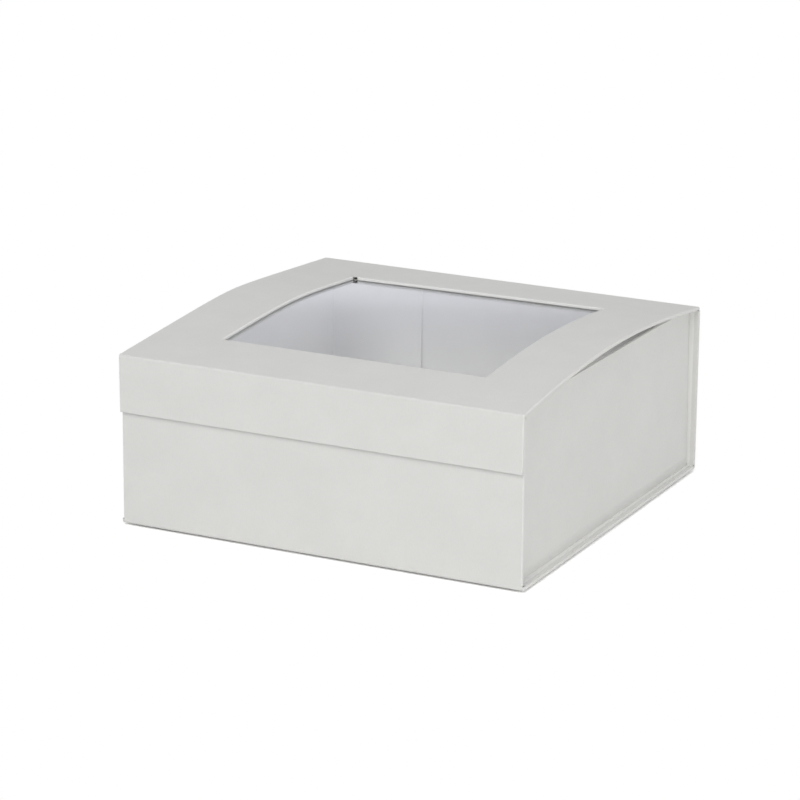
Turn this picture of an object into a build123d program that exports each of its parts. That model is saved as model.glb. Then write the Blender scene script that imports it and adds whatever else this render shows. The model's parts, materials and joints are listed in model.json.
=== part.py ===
from build123d import *

import os
from math import cos, radians, sin, tan

# Gift box with a hinged window lid and a magnetic front flap, in millimetres.
# X runs along the front, +Y to the back, +Z up; the origin is the centre of the underside.

# Case, over the outer faces
case_width = 250.0
case_depth = 250.0
case_height = 100.0
front_setback = 0.9
rear_overhang = 0.8
closure_gap = 0.2

# Sheet stock
board = 1.8
paper = 0.2
film = 0.2
tape = 0.2

# Folded paper corners between two panels
crease_gap = 0.3
fold_radius = 0.8
step_rise = 0.6

# Lid: two flat halves pitched up to a bend in the middle, with a window
lid_setback = 0.5
lid_pitch = 5.8
bend_length = 120.0
window_margin_side = 43.7
window_margin_front = 45.5
window_margin_rear = 48.5
film_lap = 10.0
film_clearance = 0.5

# Closing flap, a little narrower at its free edge
flap_height = 33.8
flap_taper = 0.3

# Side walls, each with an ear folded in at both ends and taped down
side_inset = 6.0
ear_length = 63.0
ear_fold_radius = 0.8
tape_width = 25.0
tape_end_margin = 10.0

# Magnets in the flap and steel keepers in the front wall
closure_inset = 60.0
closure_rise = 13.0
magnet_diameter = 12.0
magnet_thickness = 1.2
keeper_diameter = 14.0
keeper_thickness = 0.8
disc_clearance = 0.1

# Places that follow from the sizes
panel = board + 2 * paper
crease_ply = 2 * paper
crease_leg = panel + crease_gap
flap_face = -case_depth / 2
rear_corner = case_depth / 2
front_face = flap_face + panel + closure_gap
back_face = rear_corner - rear_overhang
front_inside = front_face + panel
back_inside = back_face - panel
wall_top = case_height - crease_leg
wall_height = wall_top - crease_leg
wall_mid = (wall_top + crease_leg) / 2
flap_bottom = case_height - flap_height
flap_mid = (flap_bottom + wall_top) / 2
wall_outside = case_width / 2 - side_inset
wall_inside = wall_outside - panel
ear_end = wall_outside - ear_length
side_front = front_inside + tape
side_rear = back_inside - tape
lid_width = case_width - 2 * lid_setback
lid_half = case_depth / 2 - crease_leg
pitch = radians(lid_pitch)
bend_radius = bend_length / 2 / sin(pitch)
bend_centre = case_height + (lid_half - bend_length / 2) * tan(pitch) - bend_radius * cos(pitch)
lid_top = bend_centre + bend_radius
lid_low = case_height - 2 * panel
lid_reach = lid_top - lid_low + panel

os.makedirs("parts", exist_ok=True)


def save(piece, node):
    """Labels a finished piece and writes it under its node's name."""
    piece.part.label = node
    export_step(piece.part, f"parts/{node}.step")


def plain_outline(width, height):
    """Rectangular outline of a panel's outer face."""
    with BuildSketch() as outline:
        Rectangle(width, height)
    return outline.sketch


def tapered_outline(width, height, taper):
    """Outline of a panel whose lower edge is drawn in by the taper at both ends."""
    with BuildSketch() as outline:
        with BuildLine():
            Polyline(
                (-width / 2, height / 2),
                (width / 2, height / 2),
                (width / 2 - taper, -height / 2),
                (taper - width / 2, -height / 2),
                close=True,
            )
        make_face()
    return outline.sketch


def within_paper(outline):
    """The outline drawn in by the thickness of the wrap."""
    with BuildSketch() as inner:
        add(outline)
        offset(amount=-paper, kind=Kind.INTERSECTION, mode=Mode.REPLACE)
    return inner.sketch


def wrap_panel(face, outline):
    """Paper over a panel's outer face and round its edges; the face plane's normal points inwards."""
    with BuildPart() as wrap:
        with BuildSketch(face):
            add(outline)
        extrude(amount=panel)
        with BuildSketch(face.offset(paper)):
            add(within_paper(outline))
        extrude(amount=board + paper, mode=Mode.SUBTRACT)
    return wrap


def fill_panel(face, outline, depth, thickness):
    """One flat layer inside a panel's wrap, from a depth below its outer face."""
    with BuildPart() as layer:
        with BuildSketch(face.offset(depth)):
            add(within_paper(outline))
        extrude(amount=thickness)
    return layer


def pocket_board(plain_board, mouth, depth, diameter, disc_places):
    """The same board with round pockets sunk from a plane, each for one disc."""
    with BuildPart() as layer:
        add(plain_board.part)
        with BuildSketch(mouth):
            with Locations(*disc_places):
                Circle(diameter / 2 + disc_clearance)
        extrude(amount=depth, mode=Mode.SUBTRACT)
    return layer


def closure_disc(mouth, place, diameter, thickness):
    """One disc of the closure, seated with its face in the pocket's mouth."""
    with BuildPart() as disc:
        with BuildSketch(mouth):
            with Locations(place):
                Circle(diameter / 2)
        extrude(amount=thickness)
    return disc


def crease_section(corner_y, corner_z, inward_y, inward_z, step=0.0):
    """Folded strip in the Y-Z plane along two panels' outer faces; a step draws its upright leg's end in."""
    knee_z = corner_z + inward_z * (crease_leg - step_rise)

    def corner(depth):
        return [
            (corner_y + inward_y * crease_leg, corner_z + inward_z * depth),
            (corner_y + inward_y * depth, corner_z + inward_z * depth),
            (corner_y + inward_y * depth, knee_z),
        ]

    def foot(depth):
        return (corner_y + inward_y * (depth + step), corner_z + inward_z * crease_leg)

    with BuildSketch(Plane.YZ) as section:
        with BuildLine():
            outer = FilletPolyline(*corner(0), radius=fold_radius + crease_ply)
            inner = FilletPolyline(*corner(crease_ply), radius=fold_radius)
            Line(outer @ 0, inner @ 0)
            Polyline(outer @ 1, foot(0), foot(crease_ply), inner @ 1)
        make_face()
    return section.sketch


def crease(section, width):
    """Folded paper strip along the whole corner."""
    with BuildPart() as strip:
        extrude(section, amount=width / 2, both=True)
    return strip


def lid_line(depth, end_inset):
    """Points of the bowed lid's section at a depth below its outer face, from front to rear."""
    end_y = lid_half - end_inset
    end_z = case_height + end_inset * tan(pitch) - depth / cos(pitch)
    radius = bend_radius - depth
    bend_y = radius * sin(pitch)
    bend_z = bend_centre + radius * cos(pitch)
    return [
        (-end_y, end_z),
        (-bend_y, bend_z),
        (0, bend_centre + radius),
        (bend_y, bend_z),
        (end_y, end_z),
    ]


def lid_section(top, bottom, end_inset=0.0):
    """Section of the bowed lid between two depths below its outer face."""
    with BuildSketch(Plane.YZ) as section:
        with BuildLine():
            for depth in (top, bottom):
                front, rise, crown, fall, rear = lid_line(depth, end_inset)
                Line(front, rise)
                ThreePointArc(rise, crown, fall)
                Line(fall, rear)
            Line(lid_line(top, end_inset)[0], lid_line(bottom, end_inset)[0])
            Line(lid_line(top, end_inset)[-1], lid_line(bottom, end_inset)[-1])
        make_face()
    return section.sketch


def window_outline(grow):
    """The window's rectangle below the lid, grown on every side."""
    front = window_margin_front - case_depth / 2
    rear = case_depth / 2 - window_margin_rear
    with BuildSketch(Plane.XY.offset(lid_low)) as outline:
        with Locations((0, (front + rear) / 2)):
            Rectangle(lid_width - 2 * window_margin_side + 2 * grow, rear - front + 2 * grow)
    return outline.sketch


def lid_layer(top, bottom, inset, window_grow):
    """One bowed layer of the lid, drawn in from its edges and cut out around the window."""
    with BuildPart() as layer:
        extrude(lid_section(top, bottom, inset), amount=lid_width / 2 - inset, both=True)
        extrude(window_outline(window_grow), amount=lid_reach, mode=Mode.SUBTRACT)
    return layer


def film_layer(thickness, grow):
    """A bowed sheet on the inner face of the lid's board, as large as the window grown on every side."""
    depth = paper + board
    with BuildPart() as layer:
        extrude(lid_section(depth, depth + thickness), amount=lid_width / 2, both=True)
        extrude(window_outline(grow), amount=lid_reach, mode=Mode.INTERSECT)
    return layer


def slab(low, high):
    """Rectangular piece between two opposite corners."""
    with BuildPart() as piece:
        with Locations(low):
            Box(*(b - a for a, b in zip(low, high)), align=(Align.MIN, Align.MIN, Align.MIN))
    return piece


def other_hand(piece):
    """The same piece on the left side of the box."""
    with BuildPart() as twin:
        mirror(piece.part, about=Plane.YZ)
    return twin


pieces = {}

# Flat panels: the plane lies in the outer face, its Y axis upwards or to the back, its normal inwards
base_face = Plane((0, (front_face + back_face) / 2, 0))
back_plane = Plane((0, back_face, wall_mid), x_dir=(1, 0, 0), z_dir=(0, -1, 0))
front_plane = Plane((0, front_face, wall_mid), x_dir=(-1, 0, 0), z_dir=(0, 1, 0))
flap_plane = Plane((0, flap_face, flap_mid), x_dir=(-1, 0, 0), z_dir=(0, 1, 0))
panels = {
    "base": (base_face, plain_outline(case_width, back_face - front_face - 2 * crease_leg)),
    "back": (back_plane, plain_outline(case_width, wall_height)),
    "front_wall": (front_plane, plain_outline(case_width - 2 * front_setback, wall_height)),
    "flap": (flap_plane, tapered_outline(lid_width, wall_top - flap_bottom, flap_taper)),
}
for name, (face, outline) in panels.items():
    pieces[f"{name}_wrap"] = wrap_panel(face, outline)
    pieces[f"{name}_board"] = fill_panel(face, outline, paper, board)
    pieces[f"{name}_liner"] = fill_panel(face, outline, paper + board, paper)

# Closure: magnets sunk in the flap from its inner side, keepers in the front wall from its outer side
closure_x = case_width / 2 - closure_inset
closure_z = flap_bottom + closure_rise
closures = {
    "magnet": ("flap", paper + board, -magnet_thickness, magnet_diameter, closure_z - flap_mid),
    "keeper": ("front_wall", paper, keeper_thickness, keeper_diameter, closure_z - wall_mid),
}
for name, (panel_name, mouth_depth, reach, diameter, rise) in closures.items():
    mouth = panels[panel_name][0].offset(mouth_depth)
    places = {"right": (-closure_x, rise), "left": (closure_x, rise)}
    board_node = f"{panel_name}_board"
    pieces[board_node] = pocket_board(pieces[board_node], mouth, reach, diameter, places.values())
    for hand, place in places.items():
        pieces[f"{name}_{hand}"] = closure_disc(mouth, place, diameter, reach)

# Bowed lid
with BuildPart() as lid_wrap:
    add(lid_layer(0, panel, 0, 0).part)
    add(lid_layer(paper, panel + paper, paper, paper).part, mode=Mode.SUBTRACT)
    add(film_layer(panel, film_lap + film_clearance).part, mode=Mode.SUBTRACT)
pieces["lid_wrap"] = lid_wrap
pieces["lid_board"] = lid_layer(paper, paper + board, paper, paper)
pieces["lid_liner"] = lid_layer(paper + board, panel, paper, film_lap + film_clearance)
pieces["window_film"] = film_layer(film, film_lap)

# Paper creases: back to lid, lid to flap, base to back, base to front wall
pieces["lid_crease"] = crease(crease_section(rear_corner, case_height, -1, -1, rear_overhang), lid_width)
pieces["flap_crease"] = crease(crease_section(flap_face, case_height, 1, -1), lid_width)
pieces["base_back_crease"] = crease(crease_section(back_face, 0, -1, 1), case_width)
pieces["base_front_crease"] = crease(crease_section(front_face, 0, 1, 1), case_width)

# Side walls, drawn in plan on the right and mirrored to the left
with BuildSketch() as side_plan:
    with BuildLine():
        Polyline(
            (ear_end, side_front),
            (wall_outside, side_front),
            (wall_outside, side_rear),
            (ear_end, side_rear),
            (ear_end, side_rear - panel),
            (wall_inside, side_rear - panel),
            (wall_inside, side_front + panel),
            (ear_end, side_front + panel),
            close=True,
        )
    make_face()
    fillet(side_plan.vertices().group_by(Axis.X)[-1], radius=ear_fold_radius)

with BuildPart() as side_wrap:
    with BuildSketch(Plane.XY.offset(panel)):
        add(side_plan.sketch)
    extrude(amount=wall_top - panel)
    with BuildSketch(Plane.XY.offset(panel)):
        add(within_paper(side_plan.sketch))
    extrude(amount=wall_top - paper - panel, mode=Mode.SUBTRACT)

ear_x = (ear_end + paper, wall_outside - crease_leg)
ear_y = {
    "front": (side_front + paper, side_front + paper + board),
    "rear": (side_rear - paper - board, side_rear - paper),
}
tape_x = ((ear_end + wall_outside - tape_width) / 2, (ear_end + wall_outside + tape_width) / 2)
tape_y = {"front": (front_inside, side_front), "rear": (side_rear, back_inside)}
side_z = (panel, wall_top - paper)
tape_z = (panel + tape_end_margin, wall_top - tape_end_margin)
side_pieces = {
    "wall_wrap": side_wrap,
    "wall_board": slab(
        (wall_inside + paper, side_front + crease_leg, side_z[0]),
        (wall_outside - paper, side_rear - crease_leg, side_z[1]),
    ),
}
for end in ("front", "rear"):
    side_pieces[f"{end}_ear_board"] = slab(*zip(ear_x, ear_y[end], side_z))
    side_pieces[f"{end}_tape"] = slab(*zip(tape_x, tape_y[end], tape_z))
for name, piece in side_pieces.items():
    pieces[f"right_{name}"] = piece
    pieces[f"left_{name}"] = other_hand(piece)

for node, piece in pieces.items():
    save(piece, node)
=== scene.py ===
"""Looks of a gift box with a hinged window lid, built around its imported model.

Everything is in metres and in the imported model's own frame: +X to the right along the front, +Y to the
back, +Z up, with the origin under the middle of the box. Paper pieces are thin sheets worked out on grids:
a point of a sheet has a place across it, a place along it and a depth below its outer face.
"""

import json
import math

import bmesh
import bpy
import numpy as np
from bpy.props import FloatProperty, FloatVectorProperty, PointerProperty
from bpy.types import Operator, Panel, PropertyGroup
from mathutils import Matrix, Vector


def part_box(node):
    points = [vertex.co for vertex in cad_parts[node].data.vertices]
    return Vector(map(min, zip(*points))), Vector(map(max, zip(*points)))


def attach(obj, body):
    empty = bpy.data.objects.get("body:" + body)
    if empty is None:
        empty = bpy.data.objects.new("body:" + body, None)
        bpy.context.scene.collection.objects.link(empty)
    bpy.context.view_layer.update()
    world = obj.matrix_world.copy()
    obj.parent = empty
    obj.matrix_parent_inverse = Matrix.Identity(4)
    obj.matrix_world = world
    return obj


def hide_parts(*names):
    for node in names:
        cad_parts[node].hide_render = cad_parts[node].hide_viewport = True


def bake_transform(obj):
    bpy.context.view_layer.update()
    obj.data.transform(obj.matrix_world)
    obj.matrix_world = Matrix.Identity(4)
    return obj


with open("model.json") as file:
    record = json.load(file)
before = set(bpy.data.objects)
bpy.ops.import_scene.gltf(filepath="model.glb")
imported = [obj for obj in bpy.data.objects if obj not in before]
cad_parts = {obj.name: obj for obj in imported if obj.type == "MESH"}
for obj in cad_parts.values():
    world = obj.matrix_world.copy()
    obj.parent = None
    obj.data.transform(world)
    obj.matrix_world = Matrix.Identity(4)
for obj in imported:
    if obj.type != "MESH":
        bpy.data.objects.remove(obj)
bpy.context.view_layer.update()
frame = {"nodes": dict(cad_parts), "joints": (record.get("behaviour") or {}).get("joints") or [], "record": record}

bl_info = {
    "name": "Gift Box with Window Lid",
    "version": (1, 0, 0),
    "blender": (4, 5, 0),
    "location": "3D View > Sidebar > Gift Box",
    "description": "Paper, board and film of a gift box with a hinged window lid",
    "category": "Object",
}

MM = 0.001


def extent(node):
    """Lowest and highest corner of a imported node, as arrays."""
    low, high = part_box(node)
    return np.array(low), np.array(high)


# Places that the pieces share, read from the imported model
lid_low, lid_high = extent("lid_wrap")
film_low, film_high = extent("window_film")
flap_low, flap_high = extent("flap_wrap")
wall_low, wall_high = extent("right_wall_wrap")
base_low, base_high = extent("base_wrap")
back_low, back_high = extent("back_wrap")
front_low, front_high = extent("front_wall_wrap")
panel_thickness = base_high[2] - base_low[2]
paper_thickness = base_high[2] - extent("base_liner")[0][2]
lid_edge_height = frame["joints"][0]["pos_m"][2]

# The film: its lap behind the window's edge, the gap from there to the lining's step, the room above the
# lining below it, and its thickness as a share of a paper's
FILM_LAP = 10 * MM
FILM_GAP = 0.5 * MM
FILM_ROOM = 0.02 * MM
FILM_TO_PAPER = 0.7

# The lid's board: how far its cut edge stands back from the window, how much further the lining does, and the
# papers that share a panel's thickness with it, with a little room
BOARD_RECESS = 0.35 * MM
LINING_SHORT = 0.05 * MM
PAPERS_ON_BOARD = 2.2

# Lining paper that goes over a board's edge at a hinge: its rounding, its distance from the edge and how far
# it stays from the edge's ends
HINGE_ROLL = 0.3 * MM
HINGE_ROOM = 0.1 * MM
HINGE_END = 0.4 * MM

# Thickness of a paper sheet, rounding of lining in an inner corner, rounding of the side walls' folds outside
# and inside, how far in from a side wall's outer face its toe reaches, and the share of painted highlight and
# burnish on a board's bent edge
PAPER_SHELL = 0.08 * MM
GUTTER_RADIUS = 0.5 * MM
EAR_OUTER_RADIUS = 1.0 * MM
EAR_INNER_RADIUS = 0.2 * MM
TOE_REACH = 5 * MM
BEND_HIGHLIGHT_AND_BURNISH = 0.3


def length(name, description, default, **limits):
    """A setting for a length. Its default and limits are given in millimetres."""
    limits = {limit: value * MM for limit, value in limits.items()}
    return FloatProperty(
        name=name, description=description, default=default * MM, precision=5, unit="LENGTH", **limits
    )


def angle(name, description, degrees):
    """A setting for an angle."""
    return FloatProperty(name=name, description=description, default=math.radians(degrees), unit="ROTATION")


def number(name, description, default, low, high):
    """A setting for a plain number between two limits."""
    return FloatProperty(name=name, description=description, default=default, min=low, max=high)


def power(name, description, watts):
    """A setting for a lamp's power."""
    return FloatProperty(name=name, description=description, default=watts, min=0.0, unit="POWER")


def colour(name, description, default):
    """A setting for a colour."""
    return FloatVectorProperty(
        name=name, description=description, default=default, min=0.0, max=1.0, size=3, subtype="COLOR"
    )


def corner_shift(corner, across, along):
    """A setting for how far one corner of the window is out of square, in millimetres."""
    return FloatVectorProperty(
        name=f"{corner} shift",
        description=f"How far the hand-cut window's {corner.lower()} corner lies from a square one, in plan",
        default=(across * MM, along * MM),
        size=2,
        precision=5,
        unit="LENGTH",
    )


class PaperSizes(PropertyGroup):
    """How the paper lies on the boards."""

    edge_radius: length(
        "Edge radius", "Rounding of the paper where it goes over a board's edge", 0.6, min=0.1, max=0.65
    )
    fold_radius: length("Fold radius", "Rounding of the outer face at a folded corner", 1.3, min=0.5, max=2)
    turn_in: length("Turn-in", "Width of the outer paper's border on a board's inner face", 14, min=5, max=20)
    liner_inset: length(
        "Liner inset", "Distance from a board's free edge to the edge of its inner paper", 3, min=1, max=10
    )
    liner_step: length(
        "Liner step", "Height of the inner paper's edge above the turned-in border", 0.12, min=0.05, max=0.15
    )
    unevenness: length("Unevenness", "How far paper swells and dips on a flat board", 0.06, min=0, max=0.2)


class WallSizes(PropertyGroup):
    """How the hand-folded side walls depart from flat."""

    crown: length("Crown", "Rise of a side wall's upper edge from its ends to its middle", 2.4, min=0, max=3)
    crown_lean: number(
        "Crown lean", "How much more the upper edge rises near the front than near the back", 0.4, 0.0, 0.8
    )
    toe: length("Toe", "How far a side wall's lower rear corner stands out", 1.5, min=0, max=3)


class LidSizes(PropertyGroup):
    """Bow of the lid and the make of its window."""

    left_bow: length(
        "Left bow", "Rise of the lid's left edge above its front and rear corners", 7.3, min=0, max=9.3
    )
    right_bow: length(
        "Right bow", "Rise of the lid's right edge above its front and rear corners", 9.3, min=0, max=9.3
    )
    left_crown: length("Left crown", "Place of the left edge's highest point, measured to the back", 3.5)
    right_crown: length("Right crown", "Place of the right edge's highest point, measured to the back", 0)
    left_bend: number(
        "Left bend", "Length of the left edge's bend as a share of a slope; small is a tent", 0.18, 0.02, 3.0
    )
    right_bend: number(
        "Right bend", "Length of the right edge's bend as a share of a slope; large is an arch", 1, 0.02, 3.0
    )
    window_roll: length(
        "Window roll", "Rounding of the paper where it goes over the window's edge", 0.8, min=0.2, max=1.2
    )
    window_skirt: length(
        "Window skirt", "Depth to which the paper covers the window's cut edge", 1.68, min=0.8, max=1.9
    )
    corner_nick: length(
        "Corner nick", "Length of paper torn off the window's rear edge at its left corner", 3, min=0.5, max=5
    )
    front_left_shift: corner_shift("Front left", -2.0, -1.0)
    front_right_shift: corner_shift("Front right", 1.9, -3.9)
    rear_right_shift: corner_shift("Rear right", 2.8, 0.0)
    film_ripple: length("Film ripple", "How far the window's film swells and dips", 0.15, min=0, max=0.5)


class FinishColours(PropertyGroup):
    """Colours of the papers, board, film, tape and discs; the lining colour is painted lighter and the edge colour
    is a painted highlight.
    """

    paper: colour("Paper", "Colour of the wrapping paper", (0.76, 0.76, 0.75))
    # Painted light: the lining colour is painted lighter than the wrapping to stand in for light inside the box
    lining: colour("Lining", "Colour of the lining paper inside the box", (0.88, 0.88, 0.87))
    # Painted highlight: a lighter paper colour laid on marked edges and on the window's rim
    painted_edge_highlight: colour("Rubbed", "Colour of the paper where an edge is rubbed", (0.85, 0.85, 0.84))
    board: colour("Board", "Colour of the raw board", (0.60, 0.59, 0.54))
    film: colour("Film", "Tint of what the window's clear film mirrors", (0.87, 0.885, 0.97))
    tape: colour("Tape", "Colour of the double-sided tape", (0.72, 0.66, 0.50))
    steel: colour("Steel", "Colour of the plated discs", (0.55, 0.55, 0.56))


class StudioSettings(PropertyGroup):
    """Camera, lamps and floor."""

    azimuth: angle("Azimuth", "Camera's turn from the front to the right", 26.374)
    elevation: angle("Elevation", "Camera's angle above the horizon", 16.620)
    roll: angle("Roll", "Camera's turn about its own line of sight", 0.482)
    distance: length(
        "Distance", "Camera's distance, along its line of sight, from the middle of the underside", 2041.285
    )
    slide_right: length(
        "Slide right", "How far right of the picture's middle the underside's lies, in its plane", 9.097
    )
    slide_up: length(
        "Slide up", "How far above the picture's middle the underside's lies, in its plane", -55.364
    )
    focal_length: FloatProperty(
        name="Focal length",
        description="Camera's focal length in millimetres, on a 36 mm wide picture",
        default=157.738,
        unit="CAMERA",
    )
    key_power: power("Key power", "Power of the broad lamp in front of the box", 16.4)
    fill_power: power("Fill power", "Power of the broad lamp on the right", 6.2)
    top_power: power("Top power", "Power of the broad lamp overhead", 1.5)
    surround: number("Surround", "Strength of the even light from all round", 0.46, 0.0, 2.0)
    floor: number("Floor", "Share of light that the floor throws back on the box", 0.95, 0.0, 1.0)
    floor_white: number(
        "Floor white", "Floor's brightness in the picture, at which plain light shows as white", 1.6, 0.5, 4.0
    )


def paper_sizes():
    """The scene's paper sizes."""
    return bpy.context.scene.gift_box_paper


def wall_sizes():
    """The scene's side wall sizes."""
    return bpy.context.scene.gift_box_walls


def lid_sizes():
    """The scene's lid sizes."""
    return bpy.context.scene.gift_box_lid


def colours():
    """The scene's finish colours."""
    return bpy.context.scene.gift_box_colours


# Grids and sheets: points of a quarter circle and their angles, points of a fold's straight run, lines on an
# ear and along and up a side wall, the width of a flat cell and of the cell before a bend, the distance at
# which points are one, and the waves of uneven paper

ARC_STEPS = 7
QUARTER_TURN = np.linspace(0, math.pi / 2, ARC_STEPS)
RUN_POINTS = 4
EAR_LINES = 12
WALL_LINES = 40
WALL_ROWS = 16
FLAT_STEP = 6 * MM
SUPPORT = 0.5 * MM
SEAM = 0.001 * MM
WAVES = ((61, 23, 0.4, 1.0), (-37, 79, 1.9, 1.0), (113, -97, 3.1, 0.5))
ALL_SIDES = ("near", "right", "far", "left")


def lines_through(stops, step):
    """Grid lines from the first stop to the last, through every stop, spaced evenly by about a step."""
    spans = zip(stops[:-1], stops[1:])
    runs = [np.linspace(a, b, max(1, math.ceil((b - a) / step)) + 1)[:-1] for a, b in spans]
    return np.concatenate([*runs, stops[-1:]])


def quarter_circle(radius):
    """How far each point of a quarter circle has fallen, and how far in from its outer end it lies."""
    return radius * (1 - np.cos(QUARTER_TURN)), radius * (1 - np.sin(QUARTER_TURN))


def rolled_edge(radius, depth, turn_in):
    """Insets and depths of paper going over an edge: a quarter circle down, straight, a quarter circle
    under, then flat on the inner face as far as the turn-in."""
    falling, closing = quarter_circle(radius)
    insets = np.concatenate([[radius + SUPPORT], closing, falling, [radius + SUPPORT, turn_in]])
    depths = np.concatenate([[0], falling, depth - closing, [depth, depth]])
    return insets, depths


def rolled_rim(radius, *below):
    """Insets and depths of paper that goes over an edge by a quarter circle, then straight down by depths."""
    falling, closing = quarter_circle(radius)
    insets = np.concatenate([[radius + SUPPORT], closing, np.zeros(len(below))])
    return insets, np.concatenate([[0], falling, below])


def quads_between(index):
    """Corner indices of the cells of a grid of point indices."""
    cells = [index[:-1, :-1], index[:-1, 1:], index[1:, 1:], index[1:, :-1]]
    return np.stack(cells, axis=-1).reshape(-1, 4)


def rim_of(index, sides):
    """Point indices along neighbouring sides of a grid, counter-clockwise; four sides end on their start."""
    runs = {"near": index[0], "right": index[:, -1], "far": index[-1, ::-1], "left": index[::-1, 0]}
    return np.concatenate([runs[sides[0]]] + [runs[side][1:] for side in sides[1:]])


class Sheet:
    """A grid of points (across, along, depth) whose rims can be carried on over an edge."""

    def __init__(self, columns, rows):
        """The flat outer face: every column crossed with every row, at depth nought."""
        across, along = np.meshgrid(columns, rows)
        self.points = np.stack([across, along, np.zeros_like(across)], axis=-1).reshape(-1, 3)
        self.index = np.arange(across.size).reshape(across.shape)
        self.faces = [quads_between(self.index)]
        self.opened = np.zeros((len(rows) - 1, len(columns) - 1), bool)
        self.edge = np.zeros(across.size)

    def carry(self, rim, profile, free, torn=None, highlight_and_burnish_share=BEND_HIGHLIGHT_AND_BURNISH, spread=0.0):
        """Carries a rim through a profile: at each step the rectangle that the rim belongs to is drawn in by
        the step's inset, on its free sides alone, and sinks by the step's depth. A closed rim is its own
        rectangle, and an open one belongs to the whole sheet's. Insets below nought draw the rectangle out.
        Torn says which of the rim's cells end at the middle of the bend, the following share how much painted
        highlight and burnish the bend gets, and spread how much further the bend reaches to the right and left
        than the sheet."""
        insets, depths = profile
        closed = rim[0] == rim[-1]
        start = self.points[rim, :2]
        around = start if closed else self.points[self.index.ravel(), :2]
        low, high = around.min(0), around.max(0)
        share = (start - low) / (high - low)
        moved = (insets[0] - insets[1:])[:, None]
        low_free = np.array(["left" in free, "near" in free], float)
        high_free = np.array(["right" in free, "far" in free], float)
        wider = np.array([spread, 0.0])
        lows, highs = low - moved * low_free - wider, high + moved * high_free + wider
        flat = lows[:, None] + share * (highs - lows)[:, None]
        sunk = np.broadcast_to(depths[1:, None, None], (*flat.shape[:2], 1))
        loops = np.concatenate([flat, sunk], axis=-1)
        if closed:
            loops = loops[:, :-1]
        added = len(self.points) + np.arange(loops.shape[0] * loops.shape[1]).reshape(loops.shape[:2])
        self.points = np.concatenate([self.points, loops.reshape(-1, 3)])
        bent = (depths[1:] > 0) & (depths[1:] < depths[-1])
        # Bent points are marked for a painted highlight and burnish, by the given share
        self.edge = np.concatenate([self.edge, np.repeat(bent * highlight_and_burnish_share, loops.shape[1])])
        if closed:
            added = np.concatenate([added, added[:, :1]], axis=1)
        index = np.concatenate([rim[None], added])
        cells = quads_between(index.T).reshape(len(rim) - 1, len(insets) - 1, 4)
        kept = np.ones(cells.shape[:2], bool)
        if torn is not None:
            kept[torn, ARC_STEPS // 2 :] = False
        self.faces.append(cells[kept])

    def cut(self, rows, columns):
        """Leaves out the outer face's cells between two rows and two columns, and gives the opening's rim."""
        self.opened[rows[0] : rows[1], columns[0] : columns[1]] = True
        opening = self.index[rows[0] : rows[1] + 1, columns[0] : columns[1] + 1]
        return rim_of(opening, ALL_SIDES)[::-1]

    def net(self):
        """Points, faces and edge marks, without the points that no face uses."""
        faces = np.concatenate([self.faces[0][~self.opened.ravel()], *self.faces[1:]])
        used, faces = np.unique(faces, return_inverse=True)
        return self.points[used], faces.reshape(-1, 4), self.edge[used]


def even_sheet(left, right, near, far, step=FLAT_STEP):
    """A flat sheet between two places across and two along, in even cells of about a step."""
    return Sheet(lines_through([left, right], step), lines_through([near, far], step))


def swell(across, along, height):
    """Soft dips between nought and a height: crossing sine waves, each with its radians per metre across and
    along, its start and its size, faded by the sixth power of the way to the sheet's border."""
    fade = np.prod([1 - (np.abs(way) / np.abs(way).max()) ** 6 for way in (across, along)], axis=0)
    waves = sum(size * np.sin(across * u + along * v + phase) for u, v, phase, size in WAVES)
    most = sum(size for *_, size in WAVES)
    return height * fade * (waves / most + 1) / 2


def new_piece(name, points, faces, material, **marks):
    """A smooth mesh object at the origin. Marks are numbers for its points that the material reads: edge is one
    where the paper gets a full painted highlight and burnish, and inside is one on lining paper, which is painted
    lighter."""
    mesh = bpy.data.meshes.new(name)
    mesh.from_pydata(points, [], faces)
    mesh.materials.append(material)
    for mark, values in marks.items():
        numbers = np.broadcast_to(np.asarray(values, np.float32), len(points))
        mesh.attributes.new(mark, "FLOAT", "POINT").data.foreach_set("value", np.ascontiguousarray(numbers))
    mesh.shade_smooth()
    piece = bpy.data.objects.new(name, mesh)
    bpy.context.scene.collection.objects.link(piece)
    return piece


def shade_evenly(piece):
    """Turns a piece's shading towards its larger faces, as far as it goes."""
    piece.modifiers.new("Even shading", "WEIGHTED_NORMAL").weight = 100
    return piece


def thicken(piece, thickness):
    """Gives a sheet its thickness below its outer face, and shades it evenly."""
    shell = piece.modifiers.new("Thickness", "SOLIDIFY")
    shell.thickness = thickness
    shell.offset = -1
    return shade_evenly(piece)


def settle(piece):
    """Makes a piece's modifiers part of its mesh."""
    bpy.context.view_layer.update()
    finished = piece.evaluated_get(bpy.context.evaluated_depsgraph_get())
    piece.data = bpy.data.meshes.new_from_object(finished)
    piece.modifiers.clear()
    return piece


# How each panel's sheet lies in space

FACINGS = {
    "front": ((1, 0, 0), (0, 0, 1)),
    "back": ((-1, 0, 0), (0, 0, 1)),
    "down": ((1, 0, 0), (0, -1, 0)),
}


def flat_face(node, facing):
    """Width, height and placing rule of a flat panel's outer face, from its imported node's box."""
    low, high = extent(node)
    across, along = (np.array(axis, float) for axis in FACINGS[facing])
    outward = np.cross(across, along)
    half = (high - low) / 2
    centre = (low + high) / 2 + outward * (half @ np.abs(outward))
    width, height = 2 * half @ np.abs(across), 2 * half @ np.abs(along)
    height_of_swell = paper_sizes().unevenness

    def place(u, v, depth):
        """The face's centre, plus the way across and along it, less the depth along its normal. Both faces
        dip towards the board."""
        sunk = depth + swell(u, v, height_of_swell) * (1 - 2 * depth / panel_thickness)
        return centre + np.outer(u, across) + np.outer(v, along) - np.outer(sunk, outward)

    return width, height, place


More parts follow.
